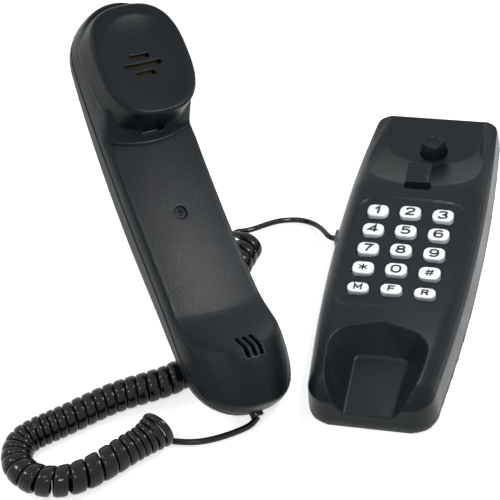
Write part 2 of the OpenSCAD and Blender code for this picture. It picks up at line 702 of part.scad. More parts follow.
module receiver() {
    color("goldenrod") place_handset() translate([0, cup_y, cup_floor - 2.3]) {
        translate([0, 0, -9]) cylinder(h = 9, r = capsule_r);
        translate([0, 0, -12]) cylinder(h = 3, r = 9);
    }
}
module receiver_gasket() {
    color("dimgrey") place_handset() translate([0, cup_y, cup_floor - 2.3 - 6]) difference() {
        cylinder(h = 3, r = 16.8);
        translate([0, 0, -1]) cylinder(h = 5, r = capsule_r + 0.1);
    }
}
module microphone() {
    color("silver") place_handset() translate([0, mic_y, 18.6]) cylinder(h = 6, r = 5);
}
module microphone_boot() {
    color("dimgrey") place_handset() translate([0, mic_y, 16]) difference() {
        cylinder(h = 9.8, r = boot_r);
        translate([0, 0, 2.4]) cylinder(h = 9, r = 5.1);
    }
}
module handset_screw() {
    color("silver") place_handset() translate([0, hs_screw_y, 14.2]) rotate([180, 0, 0]) screw(2.8, 1.5, 1.3, 16);
}
module ballast() {
    color("grey") place_handset() translate([-bar_w / 2, 112, grip_floor + 0.1]) cube([bar_w, 36, 5.5]);
}
module cord_bushing() {
    color(BLACK) place_handset() translate([0, -bush_out, bush_z]) rotate([-90, 0, 0]) {
        cylinder(h = 12 + bush_out, r = bush_r - 0.1);
    }
}

// ---------- the cord ----------

// Middle of the curls, from the end beside the mouthpiece to the end in the heap.
coil_route = [[-93, -117, 7.6], [-98, -122, 7.6], [-105, -129, 7.6], [-112, -137, 7.6], [-119.5, -144.5, 7.6],
    [-127.5, -150, 7.6], [-136.5, -152.5, 7.6], [-145.5, -151.5, 7.6], [-153, -147, 7.6], [-156.5, -140.5, 7.6],
    [-156.5, -133, 7.6], [-152, -127, 7.6], [-146, -122, 7.6], [-138, -115.5, 7.6], [-130.5, -109, 7.6],
    [-122.5, -102.5, 7.6], [-114, -97, 7.6], [-105, -92, 7.6], [-96.5, -86.5, 7.6], [-89.5, -79, 7.6],
    [-84.6, -69.5, 7.6], [-82.4, -60, 7.6], [-81, -50, 7.6], [-81.8, -39, 7.6], [-83.4, -28, 7.6],
    [-83.4, -18, 7.6], [-82, -8, 7.6], [-80, 2, 7.6]];

// Smooth curve through the points, `cuts` steps a span.
function spline(pts, cuts) =
    let (last = len(pts) - 1, at = function (i) pts[min(last, max(0, i))])
    concat([for (i = [0:last - 1], k = [0:cuts - 1]) let (t = k / cuts)
        0.5 * (2 * at(i) + (at(i + 1) - at(i - 1)) * t + (2 * at(i - 1) - 5 * at(i) + 4 * at(i + 1) - at(i + 2)) * t * t
        + (3 * at(i) - at(i - 1) - 3 * at(i + 1) + at(i + 2)) * t * t * t)], [pts[last]]);
function run_lengths(c) =
    [for (k = 0, s = 0; k < len(c); s = s + (k + 1 < len(c) ? norm(c[k + 1] - c[k]) : 0), k = k + 1) s];

coil_line = spline(coil_route, 5);
coil_s = run_lengths(coil_line);
coil_l = coil_s[len(coil_s) - 1];
coil_tables = [for (a = [0:2]) [for (k = [0:len(coil_line) - 1]) [coil_s[k], coil_line[k][a]]]];
function coil_mid(s) = [for (a = [0:2]) lookup(s, coil_tables[a])];
function coil_dir(s) = unit(coil_mid(min(coil_l, s + 2)) - coil_mid(max(0, s - 2)));
function coil_up(s) = let (t = coil_dir(s)) unit([0, 0, 1] - t[2] * t);
curl_r = (coil_od - cord_t) / 2;
curls_open = open_l / curl_open;
curls_fit = curls_open + (coil_l - open_l) / curl_shut;
curls = floor(curls_fit) + 0.5;
function curl_s(c) = let (n = c * curls_fit / curls)
    n < curls_open ? n * curl_open : open_l + (n - curls_open) * curl_shut;
rings_per_curl = 8;
curl_rings = curls * rings_per_curl;
start_turn = 180;

// Outward direction and place of curl ring i, and the direction of the cord there.
function curl_out(i) = let (s = curl_s(i / rings_per_curl), a = start_turn + i * 360 / rings_per_curl, t = coil_dir(s), u = coil_up(s))
    u * cos(a) - cross(t, u) * sin(a);
// Direction of the cord at ring i, along the helix itself.
function curl_heading(i) = let (s = curl_s(i / rings_per_curl), a = start_turn + i * 360 / rings_per_curl, t = coil_dir(s),
    u = coil_up(s)) unit((-u * sin(a) - cross(t, u) * cos(a)) * 2 * PI * curl_r + t * curl_shut);
function curl_at(i) = coil_mid(curl_s(i / rings_per_curl)) + curl_r * curl_out(i);
function curl_along(i) = unit(curl_at(min(curl_rings, i + 1)) - curl_at(max(0, i - 1)));
// Room for the cord's width between this curl and the next ones.
function curl_room(i) =
    let (p = curl_at(i), a = i + rings_per_curl <= curl_rings ? norm(curl_at(i + rings_per_curl) - p) : 99,
        b = i >= rings_per_curl ? norm(curl_at(i - rings_per_curl) - p) : 99) min(a, b);
curl_gap = 0.55;
function curl_width(i) = min(cord_w, curl_room(i) - curl_gap);

// Flat section with six sides: w along `wide`, t along `out`.
function flat6(p, wide, out, w, t) = [for (q = [[0.5, 0], [0.27, 0.5], [-0.27, 0.5], [-0.5, 0], [-0.27, -0.5], [0.27, -0.5]])
    p + wide * q[0] * w + out * q[1] * t];
function curl_ring(i) =
    let (w = i == 0 || i == curl_rings ? curl_heading(i) : curl_along(i), out = unit(curl_out(i) - (curl_out(i) * w) * w), wide = cross(out, w))
    flat6(curl_at(i), wide, out, curl_width(i), cord_t);

// The cord's straight ends: one cord width, square to the lead they meet.
first_dir = -curl_heading(0);
last_dir = curl_heading(curl_rings);
first_end = curl_at(0) + first_dir * cord_w;
last_end = curl_at(curl_rings) + last_dir * cord_w;
first_wide = cross(curl_out(0), -first_dir);
last_wide = cross(curl_out(curl_rings), last_dir);
first_out = cross(-first_dir, first_wide);
last_out = cross(last_dir, last_wide);

module cord_coil() {
    color(BLACK) tube(concat(
        [flat6(first_end, first_wide, first_out, cord_w, cord_t)],
        [for (i = [0:curl_rings]) curl_ring(i)],
        [flat6(last_end, last_wide, last_out, cord_w, cord_t)]));
}

// Least gap between a curl and the next, and between runs that pass each other.
next_gap = min([for (i = [0:curl_rings - rings_per_curl], k = [-1:1]) if (i + rings_per_curl + k <= curl_rings)
    let (a = curl_ring(i), b = curl_ring(i + rings_per_curl + k)) min([for (p = a, q = b) norm(p - q)])]);
far_gap = min([for (i = [0:4:len(coil_line) - 1], j = [0:2:len(coil_line) - 1]) if (coil_s[j] - coil_s[i] > 40)
    norm(coil_line[i] - coil_line[j]) - coil_od]);
echo(curls = curls, coil_l = coil_l, next_gap = next_gap, far_gap = far_gap);

// Free stretches, by hand-chosen points after the coil's ends.
handset_route = [[-80, -117.4, 1.4], [-71.4, -114.8, 1.4], [-63.2, -110.4, 1.5], [-57, -105.6, 1.8]];
base_route = [[-87.6, 4.6, 12.6], [-88, 7, 11.2], [-85.6, 8.8, 10.5], [-81.6, 10.2, 10], [-77, 14.6, 8.8], [-73, 19.2, 7],
    [-69, 22.8, 5.5], [-64.4, 25.2, 4.2], [-59.4, 26.2, 3.7], [-54, 25.2, 3.7], [-48.6, 21.6, 5], [-44.2, 16, 7.4]];

// Eight-sided flat tube through points; its ends are square to the given directions.
function flat8(p, wide, out, w, t) = [for (k = [0:7])
    p + wide * cos(22.5 + 45 * k) * w * 0.54 + out * sin(22.5 + 45 * k) * t * 0.54];
module flat_tube(line, wide0, from, to) {
    last = len(line) - 1;
    dirs = [for (i = [0:last]) i == 0 ? from : i == last ? to : unit(line[i + 1] - line[i - 1])];
    wides = [for (i = 0, w = wide0; i <= last; i = i + 1, w = i <= last ? unit(w - (w * dirs[i]) * dirs[i]) : w) w];
    tube([for (i = [0:last]) flat8(line[i], wides[i], cross(dirs[i], wides[i]), cord_w, cord_t)]);
}
function in_handset(p) =
    let (r = [p[0] * cos(hs_roll) + p[2] * sin(hs_roll), p[1], p[2] * cos(hs_roll) - p[0] * sin(hs_roll)],
        e = [r[0], r[1] * cos(hs_rise) - r[2] * sin(hs_rise), r[1] * sin(hs_rise) + r[2] * cos(hs_rise)])
    hs_pos + [e[0] * cos(hs_heading) - e[1] * sin(hs_heading), e[0] * sin(hs_heading) + e[1] * cos(hs_heading), e[2]];
bush_end = in_handset([0, -bush_out, bush_z]);
bush_dir = in_handset([0, 1, 0]) - hs_pos;
bush_clear = 0.1;
plug_end = [plug_x, socket_y, jack_z + jack_h / 2];

module handset_lead() {
    stop = bush_end - bush_dir * bush_clear;
    line = spline(concat([first_end, first_end + first_dir * 4], handset_route, [stop - bush_dir * 3, stop]), 2);
    color(BLACK) flat_tube(line, first_wide, first_dir, bush_dir);
}
module base_lead() {
    line = spline(concat([last_end, last_end + last_dir * 4], base_route, [plug_end - [3, 0, 0], plug_end]), 2);
    color(BLACK) flat_tube(line, last_wide, last_dir, [1, 0, 0]);
}

base_shell();
back_plate();
keypad_mat();
keypad_board();
main_board();
hook_plunger();
hook_spring();
hook_switch();
handset_clip();
sounder();
line_jack();
cord_socket();
base_screws();
key_1();
key_2();
key_3();
key_4();
key_5();
key_6();
key_7();
key_8();
key_9();
key_star();
key_0();
key_hash();
key_m();
key_f();
key_r();
handset_face();
handset_back();
receiver();
receiver_gasket();
microphone();
microphone_boot();
handset_screw();
ballast();
cord_bushing();
cord_plug();
handset_lead();
cord_coil();
base_lead();
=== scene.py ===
import json
import logging
import math
from dataclasses import dataclass, field
from enum import Enum

import bmesh
import bpy
from mathutils import Matrix, Vector

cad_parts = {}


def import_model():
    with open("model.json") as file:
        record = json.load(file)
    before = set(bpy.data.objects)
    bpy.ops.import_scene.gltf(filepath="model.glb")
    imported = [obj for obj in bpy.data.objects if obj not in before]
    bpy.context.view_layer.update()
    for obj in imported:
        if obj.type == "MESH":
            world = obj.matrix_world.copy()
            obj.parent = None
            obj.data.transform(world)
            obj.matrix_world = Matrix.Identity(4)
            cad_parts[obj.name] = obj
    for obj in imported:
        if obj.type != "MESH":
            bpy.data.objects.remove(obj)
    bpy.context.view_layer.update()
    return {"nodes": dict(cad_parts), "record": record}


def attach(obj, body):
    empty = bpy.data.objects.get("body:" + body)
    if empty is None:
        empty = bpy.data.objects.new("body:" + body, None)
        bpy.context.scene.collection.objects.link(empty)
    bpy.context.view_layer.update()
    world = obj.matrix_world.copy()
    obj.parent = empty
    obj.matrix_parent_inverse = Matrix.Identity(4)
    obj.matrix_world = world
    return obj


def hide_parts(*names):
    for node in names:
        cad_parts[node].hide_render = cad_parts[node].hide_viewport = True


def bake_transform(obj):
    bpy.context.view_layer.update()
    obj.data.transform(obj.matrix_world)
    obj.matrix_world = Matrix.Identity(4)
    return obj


log = logging.getLogger("wall_phone")

MM = 0.001
# points that are closer than this are one point
SAME_POINT = 1e-6
# how far apart a material's nodes are laid out
NODE_SPACING = 190
KEYS: tuple[str, ...] = (
    "key_1", "key_2", "key_3", "key_4", "key_5", "key_6", "key_7", "key_8", "key_9",
    "key_star", "key_0", "key_hash", "key_m", "key_f", "key_r",
)
SIGNS: dict[str, str] = {"key_star": "*", "key_hash": "#", "key_m": "M", "key_f": "F", "key_r": "R"}


# ---------- shader helpers ----------

class NodeTree:
    """A small wrapper that adds and links shader nodes."""

    def __init__(self, tree: bpy.types.NodeTree) -> None:
        """Wrap a node tree.

        Args:
            tree: The tree that nodes are added to.
        """
        self.tree = tree
        self.column = 0

    def add(self, kind: str, **values: object) -> bpy.types.Node:
        """Add a node and set its sockets or properties.

        Args:
            kind: The node's type name.
            **values: Socket values by socket name with _ for spaces, or node properties.

        Returns:
            The new node.
        """
        node = self.tree.nodes.new(kind)
        node.location = (self.column * NODE_SPACING, 0)
        self.column += 1
        for name, value in values.items():
            socket = node.inputs.get(name.replace("_", " "))
            if socket is not None:
                socket.default_value = value
            else:
                setattr(node, name, value)
        return node

    def link(self, source: bpy.types.NodeSocket, target: bpy.types.NodeSocket) -> None:
        """Join two sockets."""
        self.tree.links.new(source, target)

    def ramp(self, source: bpy.types.NodeSocket, low: float, high: float) -> bpy.types.NodeSocket:
        """Map a value so that low gives 0 and high gives 1.

        Args:
            source: The value to map.
            low: The value that gives 0.
            high: The value that gives 1.

        Returns:
            The mapped value.
        """
        node = self.add("ShaderNodeMapRange", From_Min=low, From_Max=high, interpolation_type="SMOOTHSTEP")
        self.link(source, node.inputs["Value"])
        return node.outputs["Result"]


class EffectGroups:
    """Node groups for effects that several finishes share."""

    def __init__(self) -> None:
        """Build the groups once."""
        self.grain = self._grain()
        self.handling = self._handling()

    @staticmethod
    def _sockets(
        tree: bpy.types.NodeTree, inputs: dict[str, float], outputs: tuple[str, ...],
    ) -> tuple[NodeTree, bpy.types.Node, bpy.types.Node]:
        """Give a group its sockets.

        Args:
            tree: The group.
            inputs: Value inputs by name, with their defaults.
            outputs: Names of the value outputs.

        Returns:
            The wrapper, the input node and the output node.
        """
        tree.interface.new_socket("Vector", in_out="INPUT", socket_type="NodeSocketVector")
        for name, default in inputs.items():
            socket = tree.interface.new_socket(name, in_out="INPUT", socket_type="NodeSocketFloat")
            socket.default_value = default
        for name in outputs:
            tree.interface.new_socket(name, in_out="OUTPUT", socket_type="NodeSocketFloat")
        nodes = NodeTree(tree)
        return nodes, nodes.add("NodeGroupInput"), nodes.add("NodeGroupOutput")

    def _grain(self) -> bpy.types.NodeTree:
        """Build the fine texture of a spark-eroded mould: small pits and a slow waviness.

        Returns:
            The node group, with outputs Height and Mottle.
        """
        tree = bpy.data.node_groups.new("moulded_grain", "ShaderNodeTree")
        nodes, given, out = self._sockets(tree, {"Fine": 2600.0, "Slow": 60.0}, ("Height", "Mottle"))
        pits = nodes.add("ShaderNodeTexNoise", Detail=3.0, Roughness=0.6)
        slow = nodes.add("ShaderNodeTexNoise", Detail=2.0, Roughness=0.5)
        for node, scale in ((pits, "Fine"), (slow, "Slow")):
            nodes.link(given.outputs["Vector"], node.inputs["Vector"])
            nodes.link(given.outputs[scale], node.inputs["Scale"])
        nodes.link(pits.outputs["Fac"], out.inputs["Height"])
        nodes.link(slow.outputs["Fac"], out.inputs["Mottle"])
        return tree

    def _handling(self) -> bpy.types.NodeTree:
        """Build the marks of use: smears of polish and a few fine scratches.

        Returns:
            The node group, with outputs Smear and Scratch.
        """
        tree = bpy.data.node_groups.new("handling_marks", "ShaderNodeTree")
        nodes, given, out = self._sockets(tree, {"Size": 24.0, "Scratches": 160.0}, ("Smear", "Scratch"))
        smear = nodes.add("ShaderNodeTexNoise", Detail=4.0, Roughness=0.62, Distortion=0.6)
        nodes.link(given.outputs["Vector"], smear.inputs["Vector"])
        nodes.link(given.outputs["Size"], smear.inputs["Scale"])
        nodes.link(nodes.ramp(smear.outputs["Fac"], low=0.4, high=0.75), out.inputs["Smear"])
        stretch = nodes.add("ShaderNodeMapping", Scale=(1.0, 0.05, 0.3), Rotation=(0.3, 0.2, 0.7))
        lines = nodes.add("ShaderNodeTexNoise", Detail=1.0, Roughness=0.4)
        nodes.link(given.outputs["Vector"], stretch.inputs["Vector"])
        nodes.link(stretch.outputs["Vector"], lines.inputs["Vector"])
        nodes.link(given.outputs["Scratches"], lines.inputs["Scale"])
        nodes.link(nodes.ramp(lines.outputs["Fac"], low=0.7, high=0.78), out.inputs["Scratch"])
        return tree


@dataclass(frozen=True)
class Plastic:
    """A moulded plastic finish."""

    name: str
    colour: tuple[float, float, float]
    roughness: float
    worn_roughness: float
    grain: float
    pits: float = 2600.0
    specular: float = 0.5
    lift: float = 0.25
    coat: float = 0.0
    coat_roughness: float = 0.2
    scratch: float = 0.1

    def material(self, groups: EffectGroups) -> bpy.types.Material:
        """Make the material.

        Args:
            groups: The shared effects.

        Returns:
            The material.
        """
        made, nodes, shader = new_material(self.name)
        place = nodes.add("ShaderNodeTexCoord").outputs["Object"]
        grain = nodes.add("ShaderNodeGroup", node_tree=groups.grain)
        grain.inputs["Fine"].default_value = self.pits
        marks = nodes.add("ShaderNodeGroup", node_tree=groups.handling)
        for node in (grain, marks):
            nodes.link(place, node.inputs["Vector"])
        tint = nodes.add("ShaderNodeMix", data_type="RGBA")
        tint.inputs["A"].default_value = (*[c * (1 - self.lift) for c in self.colour], 1)
        tint.inputs["B"].default_value = (*[min(1, c * (1 + self.lift)) for c in self.colour], 1)
        nodes.link(grain.outputs["Mottle"], tint.inputs["Factor"])
        nodes.link(tint.outputs["Result"], shader.inputs["Base Color"])
        rough = nodes.add("ShaderNodeMapRange", To_Min=self.roughness, To_Max=self.worn_roughness)
        nodes.link(marks.outputs["Smear"], rough.inputs["Value"])
        less = nodes.add("ShaderNodeMath", operation="MULTIPLY_ADD")
        nodes.link(marks.outputs["Scratch"], less.inputs[0])
        less.inputs[1].default_value = self.scratch
        nodes.link(rough.outputs["Result"], less.inputs[2])
        nodes.link(less.outputs["Value"], shader.inputs["Roughness"])
        bump = nodes.add("ShaderNodeBump", Strength=self.grain, Distance=0.0003)
        nodes.link(grain.outputs["Height"], bump.inputs["Height"])
        nodes.link(bump.outputs["Normal"], shader.inputs["Normal"])
        shader.inputs["Specular IOR Level"].default_value = self.specular
        shader.inputs["Coat Weight"].default_value = self.coat
        shader.inputs["Coat Roughness"].default_value = self.coat_roughness
        return made


@dataclass(frozen=True)
class Metal:
    """A bare metal finish with drawn or turned lines."""

    name: str
    colour: tuple[float, float, float]
    roughness: float
    lines: tuple[float, float, float] = (1.0, 1.0, 0.1)
    fineness: float = 900.0
    spread: float = 0.12
    smeared: float = 0.62

    def material(self, groups: EffectGroups) -> bpy.types.Material:
        """Make the material.

        Args:
            groups: The shared effects.

        Returns:
            The material.
        """
        made, nodes, shader = new_material(self.name)
        place = nodes.add("ShaderNodeTexCoord").outputs["Object"]
        turn = nodes.add("ShaderNodeMapping", Scale=self.lines)
        nodes.link(place, turn.inputs["Vector"])
        drawn = nodes.add("ShaderNodeTexNoise", Scale=self.fineness, Detail=2.0)
        nodes.link(turn.outputs["Vector"], drawn.inputs["Vector"])
        marks = nodes.add("ShaderNodeGroup", node_tree=groups.handling)
        nodes.link(place, marks.inputs["Vector"])
        tint = nodes.add("ShaderNodeMix", data_type="RGBA")
        tint.inputs["A"].default_value = (*self.colour, 1)
        tint.inputs["B"].default_value = (*[c * self.smeared for c in self.colour], 1)
        nodes.link(marks.outputs["Smear"], tint.inputs["Factor"])
        nodes.link(tint.outputs["Result"], shader.inputs["Base Color"])
        rough = nodes.add("ShaderNodeMapRange", To_Min=self.roughness, To_Max=self.roughness + self.spread)
        nodes.link(drawn.outputs["Fac"], rough.inputs["Value"])
        nodes.link(rough.outputs["Result"], shader.inputs["Roughness"])
        bump = nodes.add("ShaderNodeBump", Strength=0.12, Distance=0.00005)
        nodes.link(drawn.outputs["Fac"], bump.inputs["Height"])
        nodes.link(bump.outputs["Normal"], shader.inputs["Normal"])
        shader.inputs["Metallic"].default_value = 1.0
        return made


@dataclass(frozen=True)
class ClearPlastic:
    """Clear polycarbonate, with a faint haze."""

    name: str
    colour: tuple[float, float, float]
    roughness: float
    haze: float = 0.15
    clarity: float = 0.85
    ior: float = 1.58

    def material(self, groups: EffectGroups) -> bpy.types.Material:
        """Make the material.

        Args:
            groups: The shared effects.

        Returns:
            The material.
        """
        made, nodes, shader = new_material(self.name)
        marks = nodes.add("ShaderNodeGroup", node_tree=groups.handling)
        nodes.link(nodes.add("ShaderNodeTexCoord").outputs["Object"], marks.inputs["Vector"])
        rough = nodes.add("ShaderNodeMapRange", To_Min=self.roughness, To_Max=self.roughness + self.haze)
        nodes.link(marks.outputs["Smear"], rough.inputs["Value"])
        nodes.link(rough.outputs["Result"], shader.inputs["Roughness"])
        shader.inputs["Base Color"].default_value = (*self.colour, 1)
        shader.inputs["Transmission Weight"].default_value = self.clarity
        shader.inputs["IOR"].default_value = self.ior
        return made


def new_material(name: str) -> tuple[bpy.types.Material, NodeTree, bpy.types.Node]:
    """Start a material with a Principled shader.

    Args:
        name: The material's name.

    Returns:
        The material, a wrapper of its nodes, and its shader.
    """
    made = bpy.data.materials.new(name)
    made.use_nodes = True
    made.node_tree.nodes.clear()
    nodes = NodeTree(made.node_tree)
    shader = nodes.add("ShaderNodeBsdfPrincipled")
    nodes.link(shader.outputs["BSDF"], nodes.add("ShaderNodeOutputMaterial").inputs["Surface"])
    return made, nodes, shader


class Finish(Enum):
    """Every finish of the object, by the material slot that it belongs to."""

    BASE_BLACK = Plastic("base_black", (0.0078, 0.0112, 0.0136), 0.28, 0.38, 0.3, pits=1700.0, specular=0.15)
    PLATE_BLACK = Plastic("plate_black", (0.009, 0.0125, 0.015), 0.48, 0.58, 0.3, pits=1800.0)
    HANDSET_BLACK = Plastic(
        "handset_black", (0.0068, 0.0098, 0.012), 0.3, 0.4, 0.5, pits=1500.0, specular=0.15,
    )
    KEY_WHITE = Plastic("key_white", (0.64, 0.66, 0.67), 0.34, 0.42, 0.08, specular=0.25, lift=0.03)
    DARK_PLASTIC = Plastic("dark_plastic", (0.0075, 0.0105, 0.0125), 0.3, 0.4, 0.12, specular=0.15)
    CORD_BLACK = Plastic("cord_black", (0.0055, 0.0065, 0.007), 0.13, 0.2, 0.03, pits=1500.0, specular=0.3)
    PLUG_CLEAR = ClearPlastic("plug_clear", (0.1, 0.11, 0.12), 0.08)
    MAT_RUBBER = Plastic("mat_rubber", (0.3, 0.31, 0.32), 0.6, 0.7, 0.3, pits=1200.0)
    GASKET_RUBBER = Plastic("gasket_rubber", (0.03, 0.03, 0.031), 0.7, 0.8, 0.35, pits=1500.0)
    BOARD_GREEN = Plastic("board_green", (0.04, 0.2, 0.08), 0.3, 0.4, 0.2, pits=700.0, coat=0.4)
    SPRING_STEEL = Metal("spring_steel", (0.62, 0.62, 0.63), 0.22)
    # the screws' near-black colour is partly blackened steel and partly painted shade of the recess each
    # screw sits in
    SCREW_STEEL_WITH_PAINTED_SHADE = Metal("screw_steel", (0.014, 0.015, 0.017), 0.16, lines=(1, 1, 1), spread=0.06)
    # the capsule keeps a brass hue, but its near-black colour is painted shade of the ear cup behind the
    # slots
    CAPSULE_BRASS_WITH_PAINTED_SHADE = Metal("capsule_brass", (0.035, 0.027, 0.016), 0.32)
    CAPSULE_STEEL = Metal("capsule_steel", (0.66, 0.67, 0.68), 0.24)
    BALLAST_IRON = Metal("ballast_iron", (0.28, 0.28, 0.29), 0.55, lines=(1, 1, 1), fineness=300.0)


class Palette:
    """The materials, made once from the finishes."""

    def __init__(self) -> None:
        """Make every finish's material."""
        groups = EffectGroups()
        self.materials = {f.value.name: f.value.material(groups) for f in Finish}
        self.materials["key_print"] = self._print()

    @staticmethod
    def _print() -> bpy.types.Material:
        """Make the black print of the keys' signs, a little worn.

        Returns:
            The material.
        """
        made, nodes, shader = new_material("key_print")
        worn = nodes.add("ShaderNodeTexNoise", Scale=900.0, Detail=3.0)
        nodes.link(nodes.add("ShaderNodeTexCoord").outputs["Object"], worn.inputs["Vector"])
        tint = nodes.add("ShaderNodeMix", data_type="RGBA")
        tint.inputs["A"].default_value = (0.004, 0.0045, 0.005, 1)
        tint.inputs["B"].default_value = (0.03, 0.032, 0.035, 1)
        nodes.link(nodes.ramp(worn.outputs["Fac"], low=0.5, high=0.9), tint.inputs["Factor"])
        nodes.link(tint.outputs["Result"], shader.inputs["Base Color"])
        shader.inputs["Roughness"].default_value = 0.45
        return made

    def dress(self, piece: bpy.types.Object, name: str) -> None:
        """Give a piece one material.

        Args:
            piece: The piece.
            name: The material's name.
        """
        piece.data.materials.clear()
        piece.data.materials.append(self.materials[name])


# ---------- mesh helpers ----------

def finished(name: str, work: bmesh.types.BMesh) -> bpy.types.Object:
    """Put a bmesh into the scene as an object at the origin.

    Args:
        name: The object's name.
        work: The bmesh, which is freed.

    Returns:
        The object.
    """
    mesh = bpy.data.meshes.new(name)
    work.to_mesh(mesh)
    work.free()
    made = bpy.data.objects.new(name, mesh)
    bpy.context.scene.collection.objects.link(made)
    return made


def merged_copy(name: str, solid: bpy.types.Object) -> bpy.types.Object:
    """Copy a solid, with its loose triangles merged and without its materials.

    Args:
        name: The copy's name.
        solid: The solid.

    Returns:
        The copy.
    """
    work = bmesh.new()
    work.from_mesh(solid.data)
    bmesh.ops.remove_doubles(work, verts=work.verts, dist=SAME_POINT)
    piece = finished(name, work)
    piece.data.materials.clear()
    return piece


def settled(piece: bpy.types.Object) -> None:
    """Apply a piece's modifiers to its mesh.

    Args:
        piece: The piece.
    """
    graph = bpy.context.evaluated_depsgraph_get()
    mesh = bpy.data.meshes.new_from_object(piece.evaluated_get(graph))
    piece.modifiers.clear()
    old = piece.data
    piece.data = mesh
    bpy.data.meshes.remove(old)


def smooth_shaded(piece: bpy.types.Object, angle: float) -> None:
    """Shade a piece smooth, but sharp where its faces turn by more than an angle.

    Args:
        piece: The piece.
        angle: The angle in degrees.
    """
    piece.data.shade_smooth()
    piece.data.set_sharp_from_angle(angle=math.radians(angle))


@dataclass(frozen=True)
class Moulding:
    """How a solid becomes a moulded shell with soft edges. The voxel is in millimetres."""

    voxel: float
    passes: int
    keep: float = 1.0
    softness: float = 0.5
    quick_coarser: float = 2.2

    def cast(self, name: str, nodes: dict[str, bpy.types.Object], node: str) -> bpy.types.Object:
        """Make a rounded copy of a solid.

        Args:
            name: The new piece's name.
            nodes: The frame's solids.
            node: The solid's name.

        Returns:
            The new piece, which replaces the solid.
        """
        piece = merged_copy(name, nodes[node])
        voxel = self.voxel * 1.0 * MM
        remesh = piece.modifiers.new("remesh", "REMESH")
        remesh.mode, remesh.voxel_size, remesh.adaptivity = "VOXEL", voxel, 0.0
        remesh.use_smooth_shade = True
        soften = piece.modifiers.new("soften", "SMOOTH")
        soften.factor, soften.iterations = self.softness, self.passes
        if self.keep < 1.0:
            thin = piece.modifiers.new("thin", "DECIMATE")
            thin.ratio = self.keep
        settled(piece)
        piece.data.shade_smooth()
        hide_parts(node)
        return piece


def fitted(piece: bpy.types.Object, palette: Palette, finish: str, body: str) -> None:
    """Dress a piece and let it ride on its body.

    Args:
        piece: The piece.
        palette: The materials.
        finish: The name of its material and slot.
        body: The body that it rides on.
    """
    palette.dress(piece, finish)
    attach(piece, body)
    log.info("%s: %d faces", piece.name, len(piece.data.polygons))


# ---------- the studio ----------

